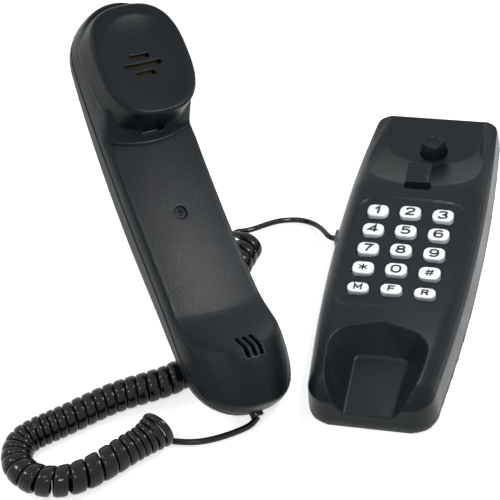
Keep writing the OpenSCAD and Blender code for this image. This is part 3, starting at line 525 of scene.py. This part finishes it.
@dataclass
class Studio:
    """The camera, lamps, floor and white background, in metres, but the lens and sensor in millimetres."""

    lens: float = 144.0
    sensor: float = 36.0
    clip: tuple[float, float] = (0.02, 20.0)
    eye: tuple[float, float, float] = (0.1670, -0.6458, 0.7198)
    right: tuple[float, float, float] = (0.96515, 0.23022, -0.12443)
    up: tuple[float, float, float] = (-0.08437, 0.72382, 0.68481)
    back: tuple[float, float, float] = (0.24773, -0.65045, 0.71802)
    # the point that the lamps hang round, and the light of the room
    aim: tuple[float, float, float] = (-0.04, -0.02, 0.02)
    room_colour: tuple[float, float, float] = (0.80, 0.93, 1.0)
    ambient: float = 0.26
    floor_half: float = 3.0
    floor_drop: float = 0.0003
    floor_grey: float = 0.8
    floor_glow: float = 0.72

    def camera(self) -> None:
        """Set up the camera."""
        data = bpy.data.cameras.new("camera")
        data.lens, data.sensor_width = self.lens, self.sensor
        data.clip_start, data.clip_end = self.clip
        eye = bpy.data.objects.new("camera", data)
        turn = Matrix((self.right, self.up, self.back)).transposed().to_4x4()
        eye.matrix_world = Matrix.Translation(self.eye) @ turn
        bpy.context.scene.collection.objects.link(eye)
        bpy.context.scene.camera = eye

    def lamp(
        self, name: str, towards: tuple[float, float, float], size: tuple[float, float],
        power: float, far: float = 1.4,
    ) -> None:
        """Hang a soft box that faces the object.

        Args:
            name: The lamp's name.
            towards: Direction from the object to the lamp.
            size: Width and height in metres.
            power: Power in watts.
            far: Distance from the object in metres.
        """
        data = bpy.data.lights.new(name, "AREA")
        data.shape, data.size, data.size_y, data.energy = "RECTANGLE", size[0], size[1], power
        made = bpy.data.objects.new(name, data)
        line = Vector(towards).normalized()
        made.location = line * far + Vector(self.aim)
        made.rotation_euler = line.to_track_quat("Z", "Y").to_euler()
        made.visible_camera = False
        bpy.context.scene.collection.objects.link(made)

    def lamps(self) -> None:
        """Hang the lamps."""
        self.lamp("soft_box_right", (0.72, 0.28, 0.63), (0.34, 0.34), 0.45)
        self.lamp("soft_box_left", (-0.75, -0.1, 0.75), (0.3, 0.3), 4.0)
        self.lamp("front_box", (-0.05, -0.6, 0.8), (0.12, 0.12), 2.4)
        self.lamp("strip_back", (-0.1, 0.9, 0.55), (1.2, 0.18), 0.3)
        self.lamp("spot_left", (-0.35, -0.2, 1.0), (0.07, 0.07), 0.7)
        self.lamp("spot_right", (0.35, 0.1, 1.0), (0.07, 0.07), 0.7)
        self.lamp("near_box", (0.0805, 0.0023, 0.141), (0.05, 0.05), 0.26, far=0.162)

    @staticmethod
    def shown(nodes: NodeTree) -> bpy.types.NodeSocket:
        """Say whether a ray sees the white background: from the camera, in a gloss or through clear plastic.

        Args:
            nodes: The nodes of a material or of the world.

        Returns:
            A value that is 1 for such a ray, and 0 for any other.
        """
        path = nodes.add("ShaderNodeLightPath")
        found = path.outputs["Is Camera Ray"]
        for ray in ("Is Transmission Ray", "Is Glossy Ray"):
            either = nodes.add("ShaderNodeMath", operation="MAXIMUM")
            nodes.link(found, either.inputs[0])
            nodes.link(path.outputs[ray], either.inputs[1])
            found = either.outputs["Value"]
        return found

    def world(self) -> None:
        """Light the scene evenly, with white behind it."""
        world = bpy.data.worlds.new("room")
        world.use_nodes = True
        world.node_tree.nodes.clear()
        nodes = NodeTree(world.node_tree)
        plain = nodes.add("ShaderNodeBackground", Color=(*self.room_colour, 1), Strength=self.ambient)
        white = nodes.add("ShaderNodeBackground", Color=(1, 1, 1, 1), Strength=1.0)
        mix = nodes.add("ShaderNodeMixShader")
        nodes.link(self.shown(nodes), mix.inputs["Fac"])
        nodes.link(plain.outputs["Background"], mix.inputs[1])
        nodes.link(white.outputs["Background"], mix.inputs[2])
        nodes.link(mix.outputs["Shader"], nodes.add("ShaderNodeOutputWorld").inputs["Surface"])
        bpy.context.scene.world = world

    def floor(self) -> None:
        """Lay the pale floor."""
        work = bmesh.new()
        bmesh.ops.create_grid(work, x_segments=1, y_segments=1, size=self.floor_half)
        bmesh.ops.translate(work, verts=work.verts, vec=(0, 0, -self.floor_drop))
        floor = finished("floor", work)
        made = bpy.data.materials.new("pale_floor")
        made.use_nodes = True
        made.node_tree.nodes.clear()
        nodes = NodeTree(made.node_tree)
        paint = nodes.add("ShaderNodeBsdfDiffuse", Color=(*[self.floor_grey] * 3, 1))
        glow = nodes.add("ShaderNodeEmission", Color=(1, 1, 1, 1), Strength=self.floor_glow)
        lit = nodes.add("ShaderNodeAddShader")
        nodes.link(paint.outputs["BSDF"], lit.inputs[0])
        nodes.link(glow.outputs["Emission"], lit.inputs[1])
        mix = nodes.add("ShaderNodeMixShader")
        nodes.link(self.shown(nodes), mix.inputs["Fac"])
        nodes.link(paint.outputs["BSDF"], mix.inputs[1])
        nodes.link(lit.outputs["Shader"], mix.inputs[2])
        nodes.link(mix.outputs["Shader"], nodes.add("ShaderNodeOutputMaterial").inputs["Surface"])
        floor.data.materials.append(made)

    def build(self) -> None:
        """Build the whole studio."""
        self.camera()
        self.lamps()
        self.world()
        self.floor()
        bpy.context.scene.view_settings.view_transform = "Standard"


# ---------- the cord ----------

def spline(points: list[Vector], cuts: int) -> list[Vector]:
    """Run a smooth curve through points.

    Args:
        points: The points.
        cuts: Steps a span.

    Returns:
        Points along the curve.
    """
    last = len(points) - 1
    line: list[Vector] = []
    for i in range(last):
        a, b, c, d = (points[min(last, max(0, i + k))] for k in (-1, 0, 1, 2))
        for k in range(cuts):
            t = k / cuts
            line.append(0.5 * (
                2 * b + (c - a) * t + (2 * a - 5 * b + 4 * c - d) * t * t + (3 * b - a - 3 * c + d) * t ** 3
            ))
    return [*line, points[last].copy()]


def direction_at(path: list[Vector], i: int) -> Vector:
    """Return the direction of a path at its point i."""
    return (path[min(len(path) - 1, i + 1)] - path[max(0, i - 1)]).normalized()


@dataclass
class CurlyCord:
    """The cord: its curls and the straight end to each side. Lengths are in millimetres."""

    # the flat section, the width that is declared for it, and its shallow groove
    widest: float = 7.0
    thick: float = 2.8
    lead_width: float = 2.9
    declared_width: float = 5.2
    sides: int = 18
    squareness: float = 0.85
    groove_depth: float = 0.12
    groove_sharpness: float = 2.4
    # the curls: how wide they are across, and how nearly each one reaches the next
    steps: int = 28
    across: float = 15.0
    snug: float = 0.985
    # the first curls open out, and lean turns their axis
    flare: float = 2.3
    flare_curls: float = 4.0
    flare_power: float = 1.6
    lean: tuple[float, float, float] = (0.35, -0.22, 0)
    lean_run: float = 26.0
    # how far the curls lie from each other, by the run along their middle line
    pitches: tuple[tuple[float, float], ...] = (
        (0, 3.0), (14, 3.2), (22, 5.4), (32, 7.4), (62, 7.2), (72, 6.0), (80, 3.9), (108, 3.7), (118, 5.1),
        (150, 5.4), (400, 5.2),
    )
    pitch_step: float = 0.25
    heading_run: float = 2.0
    coil_cuts: int = 5
    # the straight ends: how they leave the curls, meet the plug and the sleeve, and are smoothed
    base_start: float = 4.0
    handset_start: float = 2.4
    plug_run: float = 3.0
    sleeve_gap: float = 0.1
    blend_point: int = 6
    blend_run: float = 3.0
    lead_cuts: int = 8
    easings: int = 24
    narrowing: int = 16
    socket: tuple[float, float, float] = (-37.5, 11.0, 8.9)
    bushing: tuple[float, float, float] = (0.0, -1.6, 12.5)
    coil_route: tuple[tuple[float, float, float], ...] = (
        (-93, -117, 7.6), (-98, -122, 7.6), (-105, -129, 7.6), (-112, -137, 7.6), (-119.5, -144.5, 7.6),
        (-127.5, -150, 7.6), (-136.5, -152.5, 7.6), (-145.5, -151.5, 7.6), (-153, -147, 7.6),
        (-156.5, -140.5, 7.6), (-156.5, -133, 7.6), (-152, -127, 7.6), (-146, -122, 7.6),
        (-138, -115.5, 7.6), (-130.5, -109, 7.6), (-122.5, -102.5, 7.6), (-114, -97, 7.6),
        (-105, -92, 7.6), (-96.5, -86.5, 7.6), (-89.5, -79, 7.6),
        (-84.6, -69.5, 7.6), (-82.4, -60, 7.6), (-81, -50, 7.6), (-81.8, -39, 7.6), (-83.4, -28, 7.6),
        (-83.4, -18, 7.6), (-82, -8, 7.6), (-80, 2, 7.6),
    )
    handset_route: tuple[tuple[float, float, float], ...] = (
        (-80, -117.4, 1.4), (-71.4, -114.8, 1.4), (-63.2, -110.4, 1.5), (-57, -106.2, 1.7),
        (-54, -103.6, 2.1),
    )
    base_route: tuple[tuple[float, float, float], ...] = (
        (-87.6, 4.6, 12.6), (-88, 7, 11.2), (-85.6, 8.8, 10.5), (-81.6, 10.2, 10), (-77, 14.6, 8.8),
        (-73, 19.2, 7), (-69, 22.8, 5.5), (-64.4, 25.2, 4.2), (-59.4, 26.2, 3.7), (-54, 25.2, 3.7),
        (-48.6, 21.6, 5), (-44.2, 16, 7.4),
    )
    # worked out by measure
    line: list[Vector] = field(default_factory=list)
    runs: list[float] = field(default_factory=list)
    total: float = 0.0
    curl_runs: list[float] = field(default_factory=list)

    def measure(self) -> None:
        """Work out the middle line of the curls, and how far along it each of its points and each ring is."""
        self.line = spline([Vector(p) for p in self.coil_route], self.coil_cuts)
        self.runs = [0.0]
        for a, b in zip(self.line, self.line[1:]):
            self.runs.append(self.runs[-1] + (b - a).length)
        self.total = self.runs[-1]
        step = self.pitch_step
        fitting = sum(step / self.pitch(step * k) for k in range(round(self.total / step)))
        # the half curl lets the cord start at the ground and end at the top
        curls = math.floor(fitting) + 0.5
        stretch = fitting / curls
        count = round(curls * self.steps)
        self.curl_runs = [0.0]
        for _ in range(count):
            s = self.curl_runs[-1]
            self.curl_runs.append(s + self.pitch(s) * stretch / self.steps)
        over = self.total / self.curl_runs[-1]
        self.curl_runs = [s * over for s in self.curl_runs]

    def middle(self, s: float) -> Vector:
        """Find a point of the middle line.

        Args:
            s: How far along the line it is.

        Returns:
            The point.
        """
        if s <= 0:
            return self.line[0].copy()
        for i in range(len(self.runs) - 1):
            if s <= self.runs[i + 1]:
                t = (s - self.runs[i]) / (self.runs[i + 1] - self.runs[i])
                return self.line[i].lerp(self.line[i + 1], t)
        return self.line[-1].copy()

    def heading(self, s: float) -> Vector:
        """Return the direction of the middle line at a run."""
        before, after = max(0.0, s - self.heading_run), min(self.total, s + self.heading_run)
        return (self.middle(after) - self.middle(before)).normalized()

    def pitch(self, s: float) -> float:
        """Work out how far the curls lie from each other.

        Args:
            s: How far along the middle line.

        Returns:
            The distance from curl to curl there.
        """
        for (a, low), (b, high) in zip(self.pitches, self.pitches[1:]):
            if s <= b:
                return low + (high - low) * (s - a) / (b - a)
        return self.pitches[-1][1]

    def curl(self, i: int) -> tuple[Vector, Vector, Vector]:
        """Work out one ring of the curls.

        Args:
            i: The ring's number.

        Returns:
            The cord's centre, the direction of its width, and its own direction.
        """
        s = self.curl_runs[i]
        t = (self.heading(s) + Vector(self.lean) * max(0.0, 1 - s / self.lean_run)).normalized()
        u = (Vector((0, 0, 1)) - t * t.z).normalized()
        a = math.pi + 2 * math.pi * i / self.steps
        out = u * math.cos(a) - t.cross(u) * math.sin(a)
        flare = self.flare * max(0.0, 1 - i / self.steps / self.flare_curls) ** self.flare_power
        reach = self.across / 2 + flare - self.thick / 2
        along = (-u * math.sin(a) - t.cross(u) * math.cos(a)).normalized()
        return self.middle(s) + Vector((0, 0, flare)) + out * reach, along.cross(out), along

    def widths(self, helix: list[Vector]) -> list[float]:
        """Return the cord's width all along the curls, where each curl just reaches the next.

        Args:
            helix: The curls' centre line.

        Returns:
            The width at each point.
        """
        found = []
        for i, p in enumerate(helix):
            others = [(helix[k] - p).length for k in (i - self.steps, i + self.steps) if 0 <= k < len(helix)]
            found.append(max(self.lead_width, min(self.widest, self.snug * sum(others) / len(others))))
        return found

    def tube(
        self, name: str, path: list[Vector], wides: list[Vector], widths: list[float],
    ) -> bpy.types.Object:
        """Sweep the cord's flat section, which has a shallow groove along its middle, along a path.

        Args:
            name: The piece's name.
            path: The cord's centre line, in millimetres.
            wides: The direction of the section's width at each point.
            widths: The section's width at each point.

        Returns:
            The tube, in metres.
        """
        work = bmesh.new()
        rings = []
        for i, (p, wide) in enumerate(zip(path, wides)):
            t = direction_at(path, i)
            w = (wide - t * wide.dot(t)).normalized()
            out = t.cross(w)
            ring = []
            for k in range(self.sides):
                a = 2 * math.pi * k / self.sides
                c, s = math.cos(a), math.sin(a)
                x = math.copysign(abs(c) ** self.squareness, c) * widths[i] / 2
                middle = max(0.0, 1 - abs(c) * self.groove_sharpness)
                groove = self.groove_depth * middle * min(1.0, widths[i] / self.lead_width - 1)
                y = math.copysign(abs(s) ** self.squareness, s) * self.thick / 2 * (1 - groove)
                ring.append(work.verts.new((p + w * x + out * y) * MM))
            rings.append([work.edges.new((ring[k], ring[(k + 1) % self.sides])) for k in range(self.sides)])
        for a, b in zip(rings, rings[1:]):
            bmesh.ops.bridge_loops(work, edges=[*a, *b])
        for ends in (rings[0], rings[-1]):
            bmesh.ops.contextual_create(work, geom=ends)
        bmesh.ops.recalc_face_normals(work, faces=work.faces)
        piece = finished(name, work)
        smooth_shaded(piece, angle=60)
        return piece

    def eased(self, points: list[Vector]) -> list[Vector]:
        """Run a curve near points without tight corners, with both ends kept.

        Args:
            points: The points.

        Returns:
            Points along the curve.
        """
        line = spline(points, self.lead_cuts)
        for _ in range(self.easings):
            between = [(a + 2 * b + c) / 4 for a, b, c in zip(line[1:-3], line[2:-2], line[3:-1])]
            line = [*line[:2], *between, *line[-2:]]
        return line

    def narrowed(self, k: int, width: float) -> float:
        """Return the cord's width some points after the curls, where it draws in to its straight end's width.

        Args:
            k: How many points after the curls.
            width: The width at the curls.

        Returns:
            The width there.
        """
        t = max(0.0, 1 - k / self.narrowing)
        return self.lead_width + (width - self.lead_width) * t * t * (3 - 2 * t)

    @staticmethod
    def carried(path: list[Vector], first: Vector) -> list[Vector]:
        """Carry a width direction along a path without twist.

        Args:
            path: The path.
            first: The direction at its start.

        Returns:
            The direction at each point.
        """
        wides, w = [], first.copy()
        for i in range(len(path)):
            t = direction_at(path, i)
            w = (w - t * w.dot(t)).normalized()
            wides.append(w.copy())
        return wides

    def build(self, palette: Palette, in_handset: Matrix) -> None:
        """Args:
            palette: The materials.
            in_handset: Places a point of the handset's own frame, in millimetres.
        """
        self.measure()
        rings = [self.curl(i) for i in range(len(self.curl_runs))]
        helix = [r[0] for r in rings]
        first, last = -rings[0][2], rings[-1][2]
        plug = Vector(self.socket)
        before_plug = plug - Vector((self.plug_run, 0, 0))
        tail = self.eased([
            helix[-1], helix[-1] + last * self.base_start, *map(Vector, self.base_route), before_plug, plug,
        ])
        path = [*helix, *tail[1:]]
        wides = [r[1] for r in rings]
        wides += self.carried([helix[-1], *tail], wides[-1])[2:]
        widths = self.widths(helix)
        widths += [self.narrowed(k, widths[-1]) for k in range(1, len(tail))]
        coil = self.tube("curly_cord", path, wides, widths)
        into = (in_handset @ Vector((0, 1, 0)) - in_handset @ Vector((0, 0, 0))).normalized()
        stop = in_handset @ Vector(self.bushing) - into * self.sleeve_gap
        lead = self.eased([
            helix[0], helix[0] + first * self.handset_start, *map(Vector, self.handset_route), stop,
        ])
        lead_widths = [self.narrowed(k, widths[0]) for k in range(len(lead))]
        lead_piece = self.tube("handset_cord_end", lead, self.carried(lead, rings[0][1]), lead_widths)
        for piece, nodes in ((coil, ("cord_coil", "base_lead")), (lead_piece, ("handset_lead",))):
            palette.dress(piece, "cord_black")
            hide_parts(*nodes)
        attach(coil, "base")
        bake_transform(lead_piece)


# ---------- the base ----------

@dataclass
class Base:
    """The wedge base with its recess, well, plunger and clip."""

    shell: Moulding = Moulding(voxel=0.5, passes=4, keep=0.45)
    plate: Moulding = Moulding(voxel=0.8, passes=4, keep=0.8)
    small: Moulding = Moulding(voxel=0.28, passes=4)

    def build(self, nodes: dict[str, bpy.types.Object], palette: Palette) -> None:
        """Make the base's visible pieces.

        Args:
            nodes: The frame's solids.
            palette: The materials.
        """
        for name, node, how, finish, body in (
            ("base_housing", "base_shell", self.shell, "base_black", "base"),
            ("base_back", "back_plate", self.plate, "plate_black", "base"),
            ("hook_button", "hook_plunger", self.small, "dark_plastic", "plunger"),
            ("cradle_clip", "handset_clip", self.small, "dark_plastic", "clip"),
        ):
            fitted(how.cast(name, nodes, node), palette, finish, body)
        self.spring(nodes, palette)

    @staticmethod
    def spring(nodes: dict[str, bpy.types.Object], palette: Palette) -> None:
        """Make the plunger's spring.

        Args:
            nodes: The frame's solids.
            palette: The materials.
        """
        piece = merged_copy("plunger_spring", nodes["hook_spring"])
        smooth_shaded(piece, angle=70)
        palette.dress(piece, "spring_steel")
        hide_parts("hook_spring")
        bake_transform(piece)


# ---------- the keys ----------

Stroke = tuple[bool, tuple[tuple[float, float], ...]]

# each sign's strokes: whether the stroke is a curve, and its points in a box of 1 by 1 about the middle;
# the 9 is the 6 turned round
STROKES: dict[str, tuple[Stroke, ...]] = {
    "0": ((True, ((0, 0.5), (0.3, 0.42), (0.42, 0.18), (0.42, -0.18), (0.3, -0.42), (0, -0.5), (-0.3, -0.42),
                  (-0.42, -0.18), (-0.42, 0.18), (-0.3, 0.42), (0, 0.5))),),
    "1": ((False, ((-0.2, 0.24), (0.08, 0.5), (0.08, -0.42))),),
    "2": ((True, ((-0.38, 0.2), (-0.32, 0.42), (0, 0.5), (0.33, 0.42), (0.38, 0.2), (0.22, 0), (-0.12, -0.2),
                  (-0.38, -0.5))),
          (False, ((-0.36, -0.5), (0.34, -0.5)))),
    "3": ((True, ((-0.36, 0.28), (-0.28, 0.45), (0, 0.5), (0.3, 0.43), (0.34, 0.25), (0.22, 0.08),
                  (-0.06, 0.04))),
          (True, ((-0.06, 0.04), (0.26, 0), (0.4, -0.22), (0.3, -0.44), (0, -0.5), (-0.3, -0.45),
                  (-0.4, -0.25)))),
    "4": ((False, ((0.18, -0.34), (0.18, 0.5), (-0.42, -0.16), (0.36, -0.16))),),
    "5": ((False, ((0.28, 0.5), (-0.26, 0.5), (-0.32, 0.12))),
          (True, ((-0.34, 0), (-0.1, 0.12), (0.2, 0.1), (0.38, -0.1), (0.34, -0.36), (0.05, -0.5),
                  (-0.25, -0.46), (-0.4, -0.28)))),
    "6": ((True, ((0.36, 0.3), (0.25, 0.46), (0, 0.5), (-0.28, 0.4), (-0.4, 0.05), (-0.38, -0.25),
                  (-0.22, -0.46), (0.05, -0.5), (0.32, -0.4), (0.39, -0.18), (0.28, 0.04), (0.02, 0.1),
                  (-0.25, 0.02), (-0.38, -0.16))),),
    "7": ((False, ((-0.32, 0.5), (0.38, 0.5), (0.06, 0.02), (-0.1, -0.42))),),
    "8": ((True, ((0, 0.5), (0.28, 0.42), (0.33, 0.26), (0.22, 0.1), (0, 0.04), (-0.22, 0.1), (-0.33, 0.26),
                  (-0.28, 0.42), (0, 0.5))),
          (True, ((0, 0.04), (0.3, -0.06), (0.4, -0.24), (0.3, -0.43), (0, -0.5), (-0.3, -0.43),
                  (-0.4, -0.24), (-0.3, -0.06), (0, 0.04)))),
    "*": ((False, ((0, 0.42), (0, -0.42))), (False, ((-0.38, 0.22), (0.38, -0.22))),
          (False, ((0.38, 0.22), (-0.38, -0.22)))),
    "#": ((False, ((-0.1, 0.42), (-0.24, -0.42))), (False, ((0.26, 0.42), (0.12, -0.42))),
          (False, ((-0.34, 0.18), (0.4, 0.18))), (False, ((-0.4, -0.17), (0.34, -0.17)))),
    "M": ((False, ((-0.42, -0.42), (-0.42, 0.5), (0, -0.2), (0.42, 0.5), (0.42, -0.42))),),
    "F": ((False, ((-0.32, -0.42), (-0.32, 0.5), (0.32, 0.5))), (False, ((-0.3, 0.02), (0.24, 0.02)))),
    "R": ((False, ((-0.34, -0.42), (-0.34, 0.5), (0, 0.5))),
          (True, ((0, 0.5), (0.24, 0.47), (0.35, 0.26), (0.24, 0.05), (0, 0.02), (-0.3, 0.02))),
          (False, ((0.06, 0), (0.34, -0.44)))),
}


@dataclass
class Keypad:
    """The white keys and the signs printed on them. Lengths are in millimetres."""

    cap: Moulding = Moulding(voxel=0.24, passes=7)
    # a sign's width, height and stroke, and how much smaller the star and the hash are
    digit: tuple[float, float, float] = (4.8, 4.2, 1.14)
    letter: tuple[float, float, float] = (3.9, 3.0, 0.98)
    symbol_size: float = 0.92
    symbol_stroke: float = 0.72
    # how far a sign stands out of its cap and reaches into it
    proud: float = 0.03
    sunk: float = 0.12
    # a cap's top is what lies within this of its highest point
    top_band: float = 0.4
    # the steps in each span of a curved stroke, and what keeps a mitred corner from running out far
    curve_cuts: int = 6
    least_mitre: float = 0.35

    @staticmethod
    def sign_of(node: str) -> str:
        """Return the sign on a key."""
        return SIGNS.get(node, node[-1])

    def ribbon(self, work: bmesh.types.BMesh, line: list[Vector], half: float) -> None:
        """Lay a flat stroke along a line, with mitred corners.

        Args:
            work: The mesh that the stroke is added to.
            line: The stroke's middle line.
            half: Half the stroke's width.
        """
        closed = (line[0] - line[-1]).length < SAME_POINT
        last = len(line) - 1
        rails: list[tuple[bmesh.types.BMVert, bmesh.types.BMVert]] = []
        for i, p in enumerate(line):
            back = line[i] - line[i - 1] if i else (line[-1] - line[-2] if closed else line[1] - line[0])
            on = line[i + 1] - line[i] if i < last else (line[1] - line[0] if closed else line[-1] - line[-2])
            back, on = back.normalized(), on.normalized()
            side = Vector((-(back + on).y, (back + on).x, 0)).normalized()
            reach = half / max(self.least_mitre, side.dot(Vector((-on.y, on.x, 0))))
            rails.append((work.verts.new(p + side * reach), work.verts.new(p - side * reach)))
        for a, b in zip(rails, rails[1:]):
            bmesh.ops.contextual_create(work, geom=[a[0], b[0], b[1], a[1]])

    def sign(self, node: str, sign: str, top: float, middle: tuple[float, float]) -> bpy.types.Object:
        """Make a printed sign that lies on a key's cap.

        Args:
            node: The key.
            sign: The character.
            top: Height of the cap in metres.
            middle: The cap's middle in metres.

        Returns:
            The sign, a thin mesh.
        """
        wide, tall, stroke = self.letter if sign in "MFR" else self.digit
        if sign in "*#":
            wide, tall, stroke = wide * self.symbol_size, tall * self.symbol_size, stroke * self.symbol_stroke
        turned = -1 if sign == "9" else 1
        work = bmesh.new()
        for smooth, points in STROKES["6" if sign == "9" else sign]:
            line = [Vector((x * wide * turned, y * tall * turned, 0)) for x, y in points]
            if not smooth:
                line[0] += (line[0] - line[1]).normalized() * stroke / 2
                line[-1] += (line[-1] - line[-2]).normalized() * stroke / 2
            self.ribbon(work, spline(line, self.curve_cuts) if smooth else line, stroke / 2)
        made = bmesh.ops.extrude_face_region(work, geom=work.faces[:])
        raised = [v for v in made["geom"] if isinstance(v, bmesh.types.BMVert)]
        bmesh.ops.translate(work, verts=raised, vec=(0, 0, self.proud + self.sunk))
        bmesh.ops.scale(work, verts=work.verts, vec=(MM, MM, MM))
        bmesh.ops.translate(work, verts=work.verts, vec=(*middle, top - self.sunk * MM))
        bmesh.ops.recalc_face_normals(work, faces=work.faces)
        return finished(node.replace("key_", "sign_"), work)

    def build(self, nodes: dict[str, bpy.types.Object], palette: Palette) -> None:
        """Make the keys and their signs.

        Args:
            nodes: The frame's solids.
            palette: The materials.
        """
        for node in KEYS:
            cap = self.cap.cast(f"{node}_cap", nodes, node)
            fitted(cap, palette, "key_white", node)
            top = max(v.co.z for v in cap.data.vertices)
            near = [v.co for v in cap.data.vertices if v.co.z > top - self.top_band * MM]
            middle = (sum(v.x for v in near) / len(near), sum(v.y for v in near) / len(near))
            sign = self.sign(node, self.sign_of(node), top, middle)
            palette.dress(sign, "key_print")
            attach(sign, node)
            log.info("%s: %d faces", sign.name, len(sign.data.polygons))


# ---------- the handset ----------

@dataclass
class Handset:
    """The handset with its ear cup, grip and mouthpiece. Lengths are in millimetres and angles in degrees."""

    place: tuple[float, float, float] = (-59.8, -96.0, -5.8)
    heading: float = 33.9
    rise: float = 32.1
    roll: float = 20.4
    face: Moulding = Moulding(voxel=0.48, passes=4, keep=0.38)
    back: Moulding = Moulding(voxel=0.55, passes=4, keep=0.6)
    small: Moulding = Moulding(voxel=0.3, passes=14)

    def frame(self) -> Matrix:
        """Work out how the handset leans.

        Returns:
            The matrix from the handset's own frame to the object's, in millimetres.
        """
        heading = Matrix.Rotation(math.radians(self.heading), 4, "Z")
        rise = Matrix.Rotation(math.radians(self.rise), 4, "X")
        roll = Matrix.Rotation(math.radians(self.roll), 4, "Y")
        return Matrix.Translation(self.place) @ (heading @ rise) @ roll

    def build(self, nodes: dict[str, bpy.types.Object], palette: Palette) -> None:
        """Make the handset's visible pieces.

        Args:
            nodes: The frame's solids.
            palette: The materials.
        """
        for name, node, how, finish in (
            ("handset_front", "handset_face", self.face, "handset_black"),
            ("handset_rear", "handset_back", self.back, "handset_black"),
            ("cord_sleeve", "cord_bushing", self.small, "cord_black"),
        ):
            fitted(how.cast(name, nodes, node), palette, finish, "handset")


def dress_the_rest(nodes: dict[str, bpy.types.Object], record: dict, palette: Palette) -> None:
    """Give every solid that still shows its slot's material.

    Args:
        nodes: The frame's solids.
        record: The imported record.
        palette: The materials.
    """
    for part in record["subparts"]:
        solid = nodes[part["node"]]
        if not solid.hide_render:
            for i in range(len(solid.material_slots)):
                solid.material_slots[i].material = palette.materials[part["material_slot"]]
            log.info("%s: %s", part["node"], part["material_slot"])


def main() -> None:
    """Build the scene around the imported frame."""
    logging.basicConfig(level=logging.INFO, format="%(name)s %(message)s")
    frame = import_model()
    nodes, record = frame["nodes"], frame["record"]
    Studio().build()
    palette = Palette()
    handset = Handset()
    CurlyCord().build(palette, handset.frame())
    handset.build(nodes, palette)
    Base().build(nodes, palette)
    Keypad().build(nodes, palette)
    dress_the_rest(nodes, record, palette)
    bpy.context.view_layer.update()


if __name__ == "__main__":
    main()
